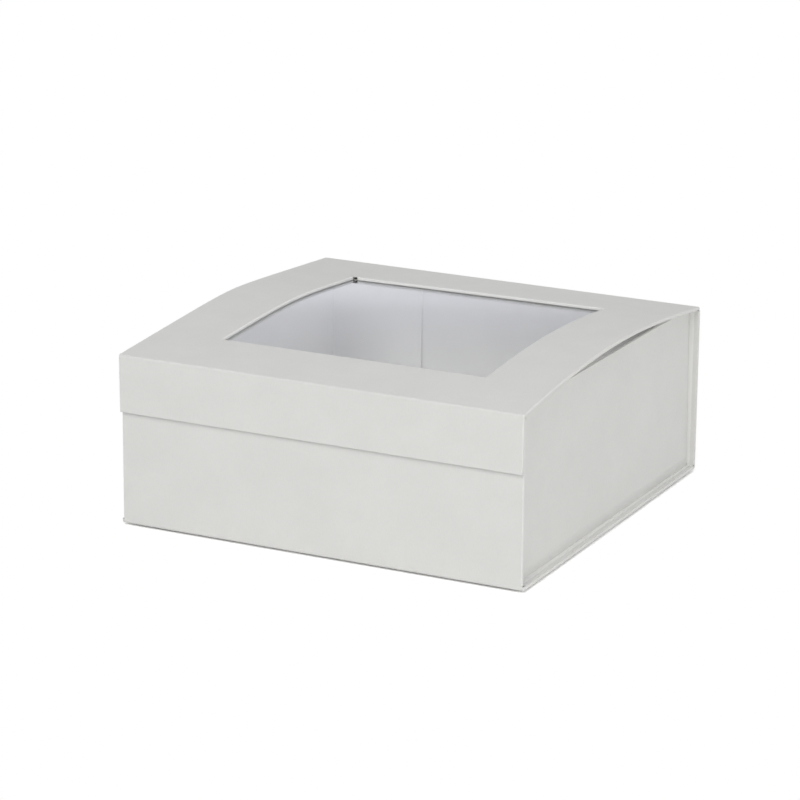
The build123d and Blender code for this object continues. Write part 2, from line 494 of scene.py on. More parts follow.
def turned_over(place, depth):
    """The placing rule of a sheet on a panel's inner face, which lies at a depth below its outer one."""

    def inner(u, v, below):
        """The same rule with the way along and the depth reversed."""
        return place(u, -v, depth - below)

    return inner


def lid_height(x, y):
    """Height of the lid's outer face: a rounded tent from front to rear, whose rise, crown and bend change
    evenly from the left edge to the right. A slope's fall is the square root of the way down the slope
    squared plus the bend squared, less the bend, made to reach the lid's corners."""
    lid = lid_sizes()
    right = (x - lid_low[0]) / (lid_high[0] - lid_low[0])
    bow = lid.left_bow + right * (lid.right_bow - lid.left_bow)
    crown = lid.left_crown + right * (lid.right_crown - lid.left_crown)
    bend = lid.left_bend + right * (lid.right_bend - lid.left_bend)
    slope = np.where(y < crown, crown - lid_low[1], lid_high[1] - crown)
    fall = np.hypot((y - crown) / slope, bend) - bend
    return lid_edge_height + bow * (1 - fall / (np.hypot(1, bend) - bend))


def window_edges():
    """Lowest and highest corner of the window, in plan: the film's box less its lap."""
    return film_low[:2] + FILM_LAP, film_high[:2] - FILM_LAP


def out_of_square(u, v):
    """Places (u, v) of the lid moved with its hand-cut window: by an even mix of the shifts of three of the
    window's corners inside it, and by less and less towards the lid's edges."""
    lid = lid_sizes()
    place = np.stack([u, v], axis=-1)
    low, high = window_edges()
    right, rear = np.clip((place - low) / (high - low), 0, 1).T[:, :, None]
    front = (1 - right) * np.array(lid.front_left_shift) + right * np.array(lid.front_right_shift)
    shift = (1 - rear) * front + rear * right * np.array(lid.rear_right_shift)
    lid_near, lid_far = lid_low[:2], lid_high[:2]
    room = np.minimum((place - lid_near) / (low - lid_near), (lid_far - place) / (lid_far - high))
    return (place + shift * np.clip(room, 0, 1).prod(axis=-1, keepdims=True)).T


def lid_place(u, v, depth):
    """The lid's outer face at (u, v), less the depth along its normal, found from the height's slopes."""
    u, v = out_of_square(u, v)
    reach = 0.1 * MM
    slope_x = (lid_height(u + reach, v) - lid_height(u - reach, v)) / (2 * reach)
    slope_y = (lid_height(u, v + reach) - lid_height(u, v - reach)) / (2 * reach)
    normal = np.stack([-slope_x, -slope_y, np.ones_like(u)], axis=-1)
    normal /= np.linalg.norm(normal, axis=-1, keepdims=True)
    face = np.stack([u, v, lid_height(u, v)], axis=-1)
    return face - depth[:, None] * normal


def flap_taper():
    """How far each end of the flap's free edge is drawn in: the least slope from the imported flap's upper
    corner to its lower half's points, which is that of its straight end, over the flap's height."""
    points = np.array([v.co for v in frame["nodes"]["flap_wrap"].data.vertices])
    lower = points[points[:, 2] < (flap_low[2] + flap_high[2]) / 2]
    slopes = (flap_high[0] - lower[:, 0]) / (flap_high[2] - lower[:, 2])
    return slopes.min() * (flap_high[2] - flap_low[2])


def flap_place(u, v, depth):
    """The flap's flat outer face, whose width shrinks evenly towards its free edge."""
    height = flap_high[2] - flap_low[2]
    middle = (flap_low[2] + flap_high[2]) / 2
    narrow = 1 - flap_taper() / flap_high[0] * (height / 2 - v) / height
    return np.stack([u * narrow, flap_low[1] + depth, middle + v], axis=-1)


def unit(vector):
    """A vector of the same direction and length one."""
    return vector / np.linalg.norm(vector)


def fold_curve(start, corner, end, radius, depth):
    """A line in the Y-Z plane that goes from start towards a corner, round it by an arc and on to the end.
    Gives the distances along it, its points, the points a radius below them, and those at a depth, where the
    two straight runs stop at their crossing."""
    start, corner, end = (np.array(p, float) for p in (start, corner, end))
    back, on = unit(start - corner), unit(end - corner)
    half_angle = math.acos(np.clip(back @ on, -1, 1)) / 2
    bisector, side = unit(back + on), unit(on - back)
    centre = corner + bisector * radius / math.sin(half_angle)
    swing = math.pi / 2 - half_angle
    turn = np.linspace(-swing, swing, 2 * ARC_STEPS)[:, None]
    arc = centre + radius * (np.sin(turn) * side - np.cos(turn) * bisector)
    reach, crossing = radius / math.tan(half_angle), depth / math.tan(half_angle)

    def straight(direction, other, whole):
        """A run's points from its far end to the arc, a radius below them and at the depth."""
        inward = unit(other - direction * (other @ direction))
        along = np.linspace(whole, reach, RUN_POINTS)[:-1, None]
        outer = corner + along * direction
        deep = corner + np.maximum(along, crossing) * direction + depth * inward
        return np.stack([outer, outer + radius * inward, deep])

    lead_in = straight(back, on, np.linalg.norm(start - corner))
    lead_out = straight(on, back, np.linalg.norm(end - corner))[:, ::-1]
    inner_corner = corner + bisector * depth / math.sin(half_angle)
    bend = np.stack([arc, np.broadcast_to(centre, arc.shape), np.broadcast_to(inner_corner, arc.shape)])
    outer, below, deep = np.concatenate([lead_in, bend, lead_out], axis=1)
    lengths = np.concatenate([[0], np.cumsum(np.linalg.norm(np.diff(outer, axis=0), axis=1))])
    return lengths, outer, below, deep


# Materials: a look adds a material's nodes to its tree and gives the inputs of its shader


def new_material(name):
    """A node material with its Principled shader."""
    material = bpy.data.materials.new(name)
    material.use_nodes = True
    return material, material.node_tree, material.node_tree.nodes["Principled BSDF"]


def feed(tree, node, inputs):
    """Sets a node's inputs, by name or number, to plain values, or links sockets to them."""
    for name, value in dict(inputs).items():
        if isinstance(value, bpy.types.NodeSocket):
            tree.links.new(value, node.inputs[name])
        else:
            node.inputs[name].default_value = value


def add(tree, kind, output, inputs=(), **settings):
    """Adds a shader node with its settings and inputs, and gives one of its outputs."""
    node = tree.nodes.new("ShaderNode" + kind)
    for setting, value in settings.items():
        setattr(node, setting, value)
    feed(tree, node, inputs)
    return node.outputs[output]


def arithmetic(tree, operation, *values):
    """The result of a Math node on numbers or sockets."""
    return add(tree, "Math", "Value", enumerate(values), operation=operation)


def either(tree, share, first, second):
    """A mix of two shaders, with a share of the second."""
    return add(tree, "MixShader", "Shader", {"Fac": share, 1: first, 2: second})


def along_axis(tree, axis):
    """A point's place along one axis of its object."""
    return add(tree, "SeparateXYZ", axis, {"Vector": add(tree, "TexCoord", "Object")})


def noise(tree, scale, detail=4.0, roughness=0.55, stretch=None):
    """Noise on Object coordinates, in cells per metre, stretched along an axis if asked."""
    place = add(tree, "TexCoord", "Object")
    if stretch is not None:
        place = add(tree, "Mapping", "Vector", {"Scale": stretch, "Vector": place})
    inputs = {"Scale": scale, "Detail": detail, "Roughness": roughness, "Vector": place}
    return add(tree, "TexNoise", "Fac", inputs)


def ramp(tree, factor, stops):
    """A colour ramp through (place, colour) stops."""
    node = tree.nodes.new("ShaderNodeValToRGB")
    elements = node.color_ramp.elements
    while len(elements) < len(stops):
        elements.new(0.5)
    for element, (place, shown) in zip(elements, stops):
        element.position = place
        element.color = (*shown, 1.0)
    tree.links.new(factor, node.inputs["Fac"])
    return node.outputs["Color"]


def mixed(tree, blend, factor, first, second):
    """A colour mix of two colours by a blend type; the factor is a number or a socket."""
    inputs = {"Factor": factor, "A": first, "B": second}
    return add(tree, "Mix", "Result", inputs, data_type="RGBA", blend_type=blend)


def ranged(tree, value, low, high, start=0.0, stop=1.0):
    """A value between a start and a stop spread between two numbers."""
    inputs = {"Value": value, "From Min": start, "From Max": stop, "To Min": low, "To Max": high}
    return add(tree, "MapRange", "Result", inputs)


def bump(tree, height, distance, strength, **under):
    """A bump of a given height, over another bump's normal if there is one."""
    inputs = {"Height": height, "Distance": distance, "Strength": strength, **under}
    return add(tree, "Bump", "Normal", inputs)


def shade(plain, factor):
    """A colour made lighter or darker."""
    return tuple(min(1.0, c * factor) for c in plain)


def paper_look(tree):
    """Matt paper, one white outside, a lighter one on lining, painted lighter to stand in for light inside the
    box, and a
    painted highlight on marked edges: faint clouds in its white, fine fibres, a felt-like grain, burnished on its
    edges."""
    cloud = noise(tree, 45, 3)
    wrapping, lining, painted_edge_highlight = (
        ramp(tree, cloud, [(0.3, shade(white, 0.985)), (0.7, shade(white, 1.015))])
        for white in (colours().paper, colours().lining, colours().painted_edge_highlight)
    )
    inside, highlight_and_burnish = (add(tree, "Attribute", "Fac", attribute_name=mark) for mark in ("inside", "edge"))
    # Lining paper takes a colour painted lighter than the wrapping, as painted light inside the box
    clouds = mixed(tree, "MIX", inside, wrapping, lining)
    # Marked edges take the painted highlight colour; the same mark lowers roughness for burnish
    clouds = mixed(tree, "MIX", highlight_and_burnish, clouds, painted_edge_highlight)
    long_noise = noise(tree, 1500, 5, 0.7, stretch=(1.0, 0.35, 0.35))
    fibres = ramp(tree, long_noise, [(0.35, (0.975, 0.973, 0.968)), (0.6, (1.0, 1.0, 1.0))])
    grain = bump(tree, noise(tree, 2600, 3), 0.012 * MM, 0.35)
    dull = ranged(tree, noise(tree, 420, 3), 0.56, 0.68)
    burnish = -0.12
    return {
        "Base Color": mixed(tree, "MULTIPLY", 1.0, clouds, fibres),
        "Normal": bump(tree, noise(tree, 160, 2), 0.05 * MM, 0.25, Normal=grain),
        "Roughness": arithmetic(tree, "MULTIPLY_ADD", highlight_and_burnish, burnish, dull),
        "Specular IOR Level": 0.35,
    }


def board_look(tree):
    """Raw greyboard: pressed pulp with lighter and darker flecks, in thin layers."""
    grey = colours().board
    shades = [(0.3, shade(grey, 0.75)), (0.5, grey), (0.72, shade(grey, 1.35))]
    pulp = ramp(tree, noise(tree, 900, 6, 0.7), shades)
    flecks = ramp(tree, noise(tree, 2400, 2), [(0.28, (0.55, 0.53, 0.5)), (0.36, (1.0, 1.0, 1.0))])
    layers = noise(tree, 700, 4, 0.6, stretch=(0.3, 0.3, 4.0))
    return {
        "Base Color": mixed(tree, "MULTIPLY", 1.0, pulp, flecks),
        "Normal": bump(tree, layers, 0.05 * MM, 0.6),
        "Roughness": ranged(tree, noise(tree, 800), 0.82, 0.96),
        "Specular IOR Level": 0.2,
    }


def film_look(tree):
    """Thin clear film: it lets most light straight through and mirrors the rest, the more the flatter it is looked
    at, and more to the left as a painted reflection that lightens the window's left side, with faint haziness and
    soft dents."""
    steepness, left_reflection_gain, right_reflection_gain = 5.0, 1.5, 0.75
    glance = arithmetic(tree, "POWER", add(tree, "LayerWeight", "Facing", {"Blend": 0.5}), steepness)
    # Painted reflection: the mirror share is raised towards the left, lightening that side of the window
    painted_reflection_slope = ranged(tree, along_axis(tree, "X"), left_reflection_gain, right_reflection_gain, start=film_low[0], stop=film_high[0])
    share = arithmetic(tree, "MULTIPLY", glance, painted_reflection_slope)
    clear = add(tree, "BsdfTransparent", "BSDF")
    mirror = tree.nodes["Principled BSDF"].outputs["BSDF"]
    feed(tree, tree.nodes["Material Output"], {"Surface": either(tree, share, clear, mirror)})
    return {
        "Metallic": 1.0,
        "Base Color": (*colours().film, 1.0),
        "Roughness": ranged(tree, noise(tree, 70, 3), 0.03, 0.09),
        "Normal": bump(tree, noise(tree, 22, 1), 0.2 * MM, 0.12),
    }


def tape_look(tree):
    """Double-sided tape: cream film with a cloudy layer of glue."""
    cream = colours().tape
    return {
        "Base Color": ramp(tree, noise(tree, 260, 4), [(0.3, shade(cream, 0.85)), (0.7, shade(cream, 1.12))]),
        "Roughness": ranged(tree, noise(tree, 500), 0.3, 0.55),
        "Normal": bump(tree, noise(tree, 340, 3), 0.03 * MM, 0.4),
    }


def steel_look(tree):
    """Plated steel: brushed along X, a little dull in patches."""
    bright = colours().steel
    brushed = noise(tree, 2500, 4, 0.6, stretch=(0.04, 1.0, 1.0))
    return {
        "Base Color": ramp(tree, brushed, [(0.3, shade(bright, 0.85)), (0.7, shade(bright, 1.1))]),
        "Metallic": 1.0,
        "Roughness": ranged(tree, noise(tree, 300), 0.22, 0.4),
        "Normal": bump(tree, brushed, 0.01 * MM, 0.3),
    }


LOOKS = {
    "white_paper": paper_look,
    "greyboard": board_look,
    "clear_film": film_look,
    "tape": tape_look,
    "steel": steel_look,
}


def finish(slot):
    """The material of a slot of the record, made the first time it is asked for."""
    name = slot + "_finish"
    if name not in bpy.data.materials:
        material, tree, shader = new_material(name)
        feed(tree, shader, LOOKS[slot](tree))
    return bpy.data.materials[name]


# Pieces


def stand_for(piece, body, slot, *nodes):
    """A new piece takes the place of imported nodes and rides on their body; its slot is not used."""
    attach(piece, body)
    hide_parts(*nodes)
    return piece


def paper_piece(name, sheet, place, **marks):
    """A piece of thin paper from a sheet, laid in space by a placing rule."""
    points, faces, edge = sheet.net()
    piece = new_piece(name, place(*points.T), faces, finish("white_paper"), edge=edge, **marks)
    return thicken(piece, PAPER_SHELL)


def outer_paper(name, width, height, place, chains):
    """A panel's outer paper: a grid over its outer face, rolled over the chains of free edges and turned in
    on the inner face. On the other edges it runs straight on into a fold."""
    paper = paper_sizes()
    profile = rolled_edge(paper.edge_radius, panel_thickness - paper.liner_step, paper.turn_in)
    free = {side for chain in chains for side in chain}
    inset = {side: profile[0][0] if side in free else 0.0 for side in ALL_SIDES}
    sheet = even_sheet(
        inset["left"] - width / 2,
        width / 2 - inset["right"],
        inset["near"] - height / 2,
        height / 2 - inset["far"],
    )
    for chain in chains:
        sheet.carry(rim_of(sheet.index, chain), profile, free)
    return paper_piece(name, sheet, place)


def lining_ends():
    """How lining paper ends, by name, as its profile and its distance from the board's edge: free ends are a
    low step some way in, level ones a low step at the edge, and hinged ones go on over the edge."""
    paper = paper_sizes()
    step = rolled_rim(paper.liner_step / 2, paper.liner_step)
    over = rolled_rim(HINGE_ROLL, panel_thickness - 2 * PAPER_SHELL)
    return {
        "free": (step, paper.liner_inset + step[0][0]),
        "level": (step, step[0][0]),
        "hinged": (over, over[0][0] - HINGE_ROOM),
    }


def end_lining(sheet, near, far):
    """Carries a lining sheet's rims through the profiles of its ends; its right and left ends are free."""
    ends = lining_ends()
    if "hinged" not in (near, far):
        sheet.carry(rim_of(sheet.index, ALL_SIDES), ends["free"][0], ALL_SIDES)
        return
    reach = ends["free"][1] - HINGE_END
    for side, end in zip(ALL_SIDES, (near, "free", far, "free")):
        spread = reach if end == "hinged" else 0.0
        sheet.carry(rim_of(sheet.index, (side,)), ends[end][0], (side,), spread=spread)


def inner_paper(name, width, height, place, near, far):
    """A panel's inner paper: a grid on its inner face. Near and far name how it ends there, as seen on that
    face, which is turned over."""
    ends = lining_ends()
    trim, near_trim, far_trim = (ends[end][1] for end in ("free", near, far))
    sheet = even_sheet(trim - width / 2, width / 2 - trim, near_trim - height / 2, height / 2 - far_trim)
    end_lining(sheet, near, far)
    return paper_piece(name, sheet, turned_over(place, panel_thickness), inside=1)


def panel_papers(panel, body, face, chains, near="free", far="free"):
    """Both papers of a panel, on a face given by its width, height and placing rule."""
    outer = outer_paper(panel + "_outer_paper", *face, chains)
    inner = inner_paper(panel + "_inner_paper", *face, near, far)
    stand_for(outer, body, "white_paper", panel + "_wrap")
    stand_for(inner, body, "white_paper", panel + "_liner")


def on_curve(along, lengths, curve):
    """Points of a curve at distances along it."""
    return np.stack([np.interp(along, lengths, places) for places in curve.T], axis=-1)


def folded_net(start, corner, end, width):
    """Paper round a folded corner: a line, an arc and a line in the Y-Z plane, carried along X, with its two
    ends rolled over and turned in as deep as the panels are thick."""
    paper = paper_sizes()
    radius, deepest = paper.fold_radius, panel_thickness - paper.liner_step
    lengths, *curves = fold_curve(start, corner, end, radius, deepest)
    profile = rolled_rim(paper.edge_radius, radius, deepest)
    trim = profile[0][0]
    columns = lines_through([trim - width / 2, width / 2 - trim], FLAT_STEP)
    sheet = Sheet(columns, lengths)
    for side in ("right", "left"):
        sheet.carry(rim_of(sheet.index, (side,)), profile, (side,))
    points, faces, edge = sheet.net()
    across, along, depth = points.T
    outer, below, deep = (on_curve(along, lengths, curve) for curve in curves)
    first = np.clip(depth / radius, 0, 1)[:, None]
    second = np.clip((depth - radius) / (deepest - radius), 0, 1)[:, None]
    section = outer + first * (below - outer) + second * (deep - below)
    return np.column_stack([across, section]), faces, edge


def gutter_net(corner, first, second, width):
    """Lining paper in an inner corner, a short way along two directions from it: a line, an arc and a line in
    the Y-Z plane, carried along X without rolled ends."""
    start, end = (np.array(corner) + 2 * GUTTER_RADIUS * np.array(way) for way in (first, second))
    lengths, line, *_ = fold_curve(start, corner, end, GUTTER_RADIUS, 0)
    columns = lines_through([-width / 2, width / 2], FLAT_STEP)
    points, faces, edge = Sheet(columns, lengths).net()
    return np.column_stack([points[:, 0], on_curve(points[:, 1], lengths, line)]), faces, edge


def joined(*nets):
    """Several nets of points, faces and edge marks as one."""
    points, faces, edges = zip(*nets)
    first = np.cumsum([0] + [len(p) for p in points[:-1]])
    faces = [corners + start for corners, start in zip(faces, first)]
    return np.concatenate(points), np.concatenate(faces), np.concatenate(edges)


def folded_paper(name, *nets):
    """A piece of folded paper from its nets."""
    points, faces, edge = joined(*nets)
    return thicken(new_piece(name, points, faces, finish("white_paper"), edge=edge), PAPER_SHELL)


class GIFTBOX_OT_case_panels(Operator):
    """Outer and inner paper of the base, the back and the front wall"""

    bl_idname = "giftbox.case_panels"
    bl_label = "Case Panels"

    def execute(self, context):
        panels = {
            "base": ("down", [("right",), ("left",)], "level", "level"),
            "back": ("back", [("right",), ("left",)], "hinged", "level"),
            "front_wall": ("front", [("right", "far", "left")], "free", "level"),
        }
        for panel, (facing, chains, near, far) in panels.items():
            panel_papers(panel, "box", flat_face(panel + "_wrap", facing), chains, near, far)
        return {"FINISHED"}


class GIFTBOX_OT_base_folds(Operator):
    """Folded paper between the base and its two upright walls"""

    bl_idname = "giftbox.base_folds"
    bl_label = "Base Folds"

    def execute(self, context):
        width = base_high[0] - base_low[0]
        lining_width = width - 2 * paper_sizes().edge_radius
        step = paper_sizes().liner_step
        floor = panel_thickness - step + PAPER_SHELL / 2
        rear_face = back_low[1] + step - PAPER_SHELL / 2
        front_face = front_high[1] - step + PAPER_SHELL / 2
        folds = {
            "front": (
                folded_net((base_low[1], 0), (front_low[1], 0), (front_low[1], front_low[2]), width),
                gutter_net((front_face, floor), (0, 1), (1, 0), lining_width),
            ),
            "back": (
                folded_net((back_high[1], back_low[2]), (back_high[1], 0), (base_high[1], 0), width),
                gutter_net((rear_face, floor), (-1, 0), (0, 1), lining_width),
            ),
        }
        for side, nets in folds.items():
            stand_for(folded_paper(f"base_{side}_fold", *nets), "box", "white_paper", f"base_{side}_crease")
        return {"FINISHED"}


def corner_arc(corner, arriving, leaving, radius):
    """A quarter circle that leaves one straight run and joins the next, at a right-angled corner."""
    turn = QUARTER_TURN[:, None]
    return corner + radius * (leaving * (1 - np.cos(turn)) - arriving * (1 - np.sin(turn)))


def ear_path(rear_y, wall_x, front_y, radius, edge):
    """Plan of one face of a side wall with its two ears: along the rear ear, round the fold, along the wall,
    round the other fold and along the front ear, stopping short of each free end."""
    out, forward = np.array([1.0, 0.0]), np.array([0.0, -1.0])
    rear_corner, front_corner = np.array([wall_x, rear_y]), np.array([wall_x, front_y])
    ear = np.linspace(wall_low[0] + edge, wall_x - radius, EAR_LINES)[:, None] * out
    wall = np.linspace(rear_y - radius, front_y + radius, WALL_LINES)[:, None] * -forward
    return np.concatenate(
        [
            ear[:-1] + rear_corner * (0, 1),
            corner_arc(rear_corner, out, forward, radius),
            wall[1:-1] + rear_corner * (1, 0),
            corner_arc(front_corner, forward, -out, radius),
            ear[-2::-1] + front_corner * (0, 1),
        ]
    )


def side_wall_net():
    """Points, faces and marks of the right side wall's paper. A closed section, a slab with rounded upper
    corners, is carried along the wall's plan between its outer and inner face, and shrinks to nothing at both
    free ends. Its upper edge is crowned by one less the sixth power of the way from the wall's middle, a
    little more in front than behind, and its outer face stands out evenly towards the lower rear corner."""
    paper, wall = paper_sizes(), wall_sizes()
    edge, half = paper.edge_radius, panel_thickness / 2
    rear, right, front = wall_high[1], wall_high[0], wall_low[1]
    outer = ear_path(rear, right, front, EAR_OUTER_RADIUS, edge)
    rear, right, front = rear - panel_thickness, right - panel_thickness, front + panel_thickness
    inner = ear_path(rear, right, front, EAR_INNER_RADIUS, edge)
    middle, reach = (outer + inner) / 2, (outer - inner) / 2
    turn = QUARTER_TURN[1:]
    slip = np.append(edge * np.sin(turn), edge)[:, None] * np.array([-1.0, 0.0])
    shrink = np.append(1 - edge / half * (1 - np.cos(turn)), 0)[:, None]
    middle = np.concatenate([(middle[0] + slip)[::-1], middle, middle[-1] + slip])
    reach = np.concatenate([(reach[0] * shrink)[::-1], reach, reach[-1] * shrink])
    side = 1 - edge / half * (1 - np.cos(QUARTER_TURN))
    top = wall_high[2] - edge * (1 - np.sin(QUARTER_TURN))
    heights = np.linspace(wall_low[2], wall_high[2] - edge, WALL_ROWS)[:-1]
    section_side = np.concatenate([np.ones_like(heights), side, -side[::-1], -np.ones_like(heights)])
    section_height = np.concatenate([heights, top, top[::-1], heights[::-1]])
    plan = middle[:, None] + reach[:, None] * section_side[None, :, None]
    height = np.broadcast_to(section_height[None, :, None], (*plan.shape[:2], 1))
    points = np.concatenate([plan, height], axis=-1)
    upward = (points[..., 2] - wall_low[2]) / (wall_high[2] - wall_low[2])
    rearward = (points[..., 1] - wall_low[1]) / (wall_high[1] - wall_low[1])
    outward = np.clip(section_side, 0, 1) * np.clip(1 - (wall_high[0] - points[..., 0]) / TOE_REACH, 0, 1)
    from_middle = 2 * rearward - 1
    points[..., 2] += wall.crown * upward * (1 - wall.crown_lean * from_middle) * (1 - from_middle**6)
    points[..., 0] += wall.toe * outward * rearward * (1 - upward)
    index = np.arange(points.shape[0] * points.shape[1]).reshape(points.shape[:2])
    index = np.concatenate([index, index[:, :1]], axis=1)
    # A band along the top edge takes a painted highlight and burnish; inner faces take the lining colour, painted
    # lighter
    highlight_band_height = edge / 2
    near_top = np.clip((section_height - top[0]) / highlight_band_height, 0, 1)
    highlight_and_burnish, inside = (np.broadcast_to(mark, points.shape[:2]).ravel() for mark in (near_top, section_side < 0))
    return points.reshape(-1, 3), quads_between(index), highlight_and_burnish, inside


def merge_seams(piece):
    """Joins points that lie on one another, where a surface closes on itself."""
    mesh = bmesh.new()
    mesh.from_mesh(piece.data)
    bmesh.ops.remove_doubles(mesh, verts=mesh.verts, dist=SEAM)
    mesh.to_mesh(piece.data)
    mesh.free()
    return piece


class GIFTBOX_OT_side_walls(Operator):
    """Paper of the two side walls and their folded ears"""

    bl_idname = "giftbox.side_walls"
    bl_label = "Side Walls"

    def execute(self, context):
        points, faces, edge, inside = side_wall_net()
        marks = {"edge": edge, "inside": inside}
        paper = finish("white_paper")
        for hand, mirror in (("right", 1), ("left", -1)):
            placed = points * (mirror, 1, 1)
            piece = new_piece(f"{hand}_side_paper", placed, faces[:, ::mirror], paper, **marks)
            stand_for(shade_evenly(merge_seams(piece)), "box", "white_paper", f"{hand}_wall_wrap")
        return {"FINISHED"}


def bordered_sheet(low, high, opening_low, opening_high, cell):
    """A flat sheet with room for an opening, both given by two corners in plan. It has a narrow cell inside
    each end of the opening. Gives the sheet and the numbers of the columns and rows at the opening's ends."""
    lines, ends = [], []
    for stops in zip(low, opening_low, opening_low + cell, opening_high - cell, opening_high, high):
        run = lines_through(stops, FLAT_STEP)
        lines.append(run)
        ends.append([int(np.argmin(np.abs(run - stop))) for stop in (stops[1], stops[4])])
    return Sheet(*lines), *ends


class GIFTBOX_OT_lid(Operator):
    """Outer paper, board and inner paper of the bowed lid"""

    bl_idname = "giftbox.lid"
    bl_label = "Lid"

    def execute(self, context):
        stand_for(self.outer(), "lid", "white_paper", "lid_wrap")
        stand_for(self.board(), "lid", "greyboard", "lid_board")
        stand_for(self.inner(), "lid", "white_paper", "lid_liner")
        return {"FINISHED"}

    def outer(self):
        """Paper over the lid, turned in at its sides and rolled over the window's edge. A bit is torn off."""
        paper, lid = paper_sizes(), lid_sizes()
        sides = rolled_edge(paper.edge_radius, panel_thickness - paper.liner_step, paper.turn_in)
        insets, depths = rolled_rim(lid.window_roll, lid.window_skirt)
        low, high = window_edges()
        trim = np.array([sides[0][0], 0.0])
        sheet, columns, rows = bordered_sheet(
            lid_low[:2] + trim, lid_high[:2] - trim, low - insets[0], high + insets[0], lid.corner_nick
        )
        for side in ("right", "left"):
            sheet.carry(rim_of(sheet.index, (side,)), sides, (side,))
        rim = sheet.cut(rows, columns)
        left, rear = sheet.points[sheet.index[rows[1], columns[0]], :2]
        across, along = (sheet.points[rim[:-1], :2] + sheet.points[rim[1:], :2]).T / 2
        torn = (across < left + lid.corner_nick) & (along == rear)
        # The window's rolled rim takes the full painted highlight and burnish
        sheet.carry(rim, (-insets, depths), ALL_SIDES, torn, highlight_and_burnish_share=1.0)
        return paper_piece("lid_outer_paper", sheet, lid_place)

    def board(self):
        """The bowed board with its window, whose raw cut edge shows below the rolled paper. A notch is broken
        out of it where the paper is torn."""
        low, high = window_edges()
        sheet, columns, rows = bordered_sheet(
            lid_low[:2] + paper_thickness,
            lid_high[:2] - paper_thickness,
            low - BOARD_RECESS,
            high + BOARD_RECESS,
            lid_sizes().corner_nick,
        )
        left, rear = columns[0], rows[1]
        sheet.cut(rows, columns)
        sheet.cut((rear, rear + 1), (left, left + 1))
        points, faces, *_ = sheet.net()
        points[:, 2] += paper_thickness
        piece = new_piece("lid_core_board", lid_place(*points.T), faces, finish("greyboard"))
        return thicken(piece, panel_thickness - PAPERS_ON_BOARD * paper_thickness)

    def inner(self):
        """Paper on the lid's inner face, where the way along is reversed, and over its two hinged edges. It
        steps down round the film and goes on below it to the window."""
        ends = lining_ends()
        trim = np.array([ends["free"][1], ends["hinged"][1]])
        below = paper_thickness + FILM_ROOM
        insets, depths = rolled_rim(paper_sizes().liner_step / 2, below)
        gap = FILM_GAP + insets[0]
        insets = np.append(insets, BOARD_RECESS + LINING_SHORT - FILM_LAP - FILM_GAP)
        depths = np.append(depths, below)
        film_near, film_far = np.array([film_low[:2], film_high[:2]]) * (1, -1)
        sheet, columns, rows = bordered_sheet(
            lid_low[:2] + trim,
            lid_high[:2] - trim,
            np.minimum(film_near, film_far) - gap,
            np.maximum(film_near, film_far) + gap,
            FLAT_STEP,
        )
        end_lining(sheet, "hinged", "hinged")
        sheet.carry(sheet.cut(rows, columns), (-insets, depths), ALL_SIDES)
        return paper_piece("lid_inner_paper", sheet, turned_over(lid_place, panel_thickness), inside=1)


class GIFTBOX_OT_window_film(Operator):
    """Clear film on the inner side of the lid's window"""

    bl_idname = "giftbox.window_film"
    bl_label = "Window Film"

    def execute(self, context):
        (left, near), (right, far) = film_low[:2], film_high[:2]
        points, faces, *_ = even_sheet(left, right, near, far, FLAT_STEP / 2).net()
        across, along = points[:, :2].T
        ripple = swell(across - (left + right) / 2, along - (near + far) / 2, lid_sizes().film_ripple)
        depth = panel_thickness - paper_thickness + ripple
        piece = new_piece("window_pane", lid_place(across, along, depth), faces, finish("clear_film"))
        thicken(piece, paper_thickness * FILM_TO_PAPER)
        stand_for(piece, "lid", "clear_film", "window_film")
        return {"FINISHED"}


class GIFTBOX_OT_flap(Operator):
    """Outer and inner paper of the closing flap"""

    bl_idname = "giftbox.flap"
    bl_label = "Closing Flap"

    def execute(self, context):
        face = flap_high[0] - flap_low[0], flap_high[2] - flap_low[2], flap_place
        panel_papers("flap", "flap", face, [("left", "near", "right")], near="hinged")
        return {"FINISHED"}


class GIFTBOX_OT_hinge_folds(Operator):
    """Folded paper that the lid and the flap swing on"""

    bl_idname = "giftbox.hinge_folds"
    bl_label = "Hinge Folds"

    def execute(self, context):
        width = lid_high[0] - lid_low[0]
        top = lid_edge_height
        folds = {
            "lid": ("box", (back_high[1], back_high[2]), (lid_high[1], top)),
            "flap": ("lid", (lid_low[1], top), (flap_low[1], flap_high[2])),
        }
        corners = {joint["name"]: joint["pos_m"][1:] for joint in frame["joints"]}
        for moving, (still, still_end, moving_end) in folds.items():
            corner = corners[f"{moving}_hinge"]
            net = folded_net(moving_end, corner, still_end, width)
            piece = settle(folded_paper(f"{moving}_hinge_paper", net))
            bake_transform(piece)
            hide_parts(f"{moving}_crease")
        return {"FINISHED"}


class GIFTBOX_OT_inner_parts(Operator):
    """Finishes of the boards, tapes and discs inside the paper"""

    bl_idname = "giftbox.inner_parts"
    bl_label = "Boards, Tapes and Discs"

    def execute(self, context):
        slots = {part["node"]: part["material_slot"] for part in frame["record"]["subparts"]}
        for name, node in frame["nodes"].items():
            if not node.hide_render:
                node.data.materials.clear()
                node.data.materials.append(finish(slots[name]))
        return {"FINISHED"}


# Stage

LAMPS = {
    "key": {"place": (0.14, -1.63, 1.5), "size": 1.1, "colour": (1.0, 1.0, 0.97)},
    "fill": {"place": (1.65, -0.55, 0.55), "size": 1.0, "colour": (0.995, 1.0, 0.95)},
    "top": {"place": (1.0, 0.9, 1.7), "size": 1.2, "colour": (0.98, 0.98, 1.0)},
}
SURROUND_TINT = (0.99, 0.99, 1.0, 1.0)
PICTURE_WIDTH = 36.0


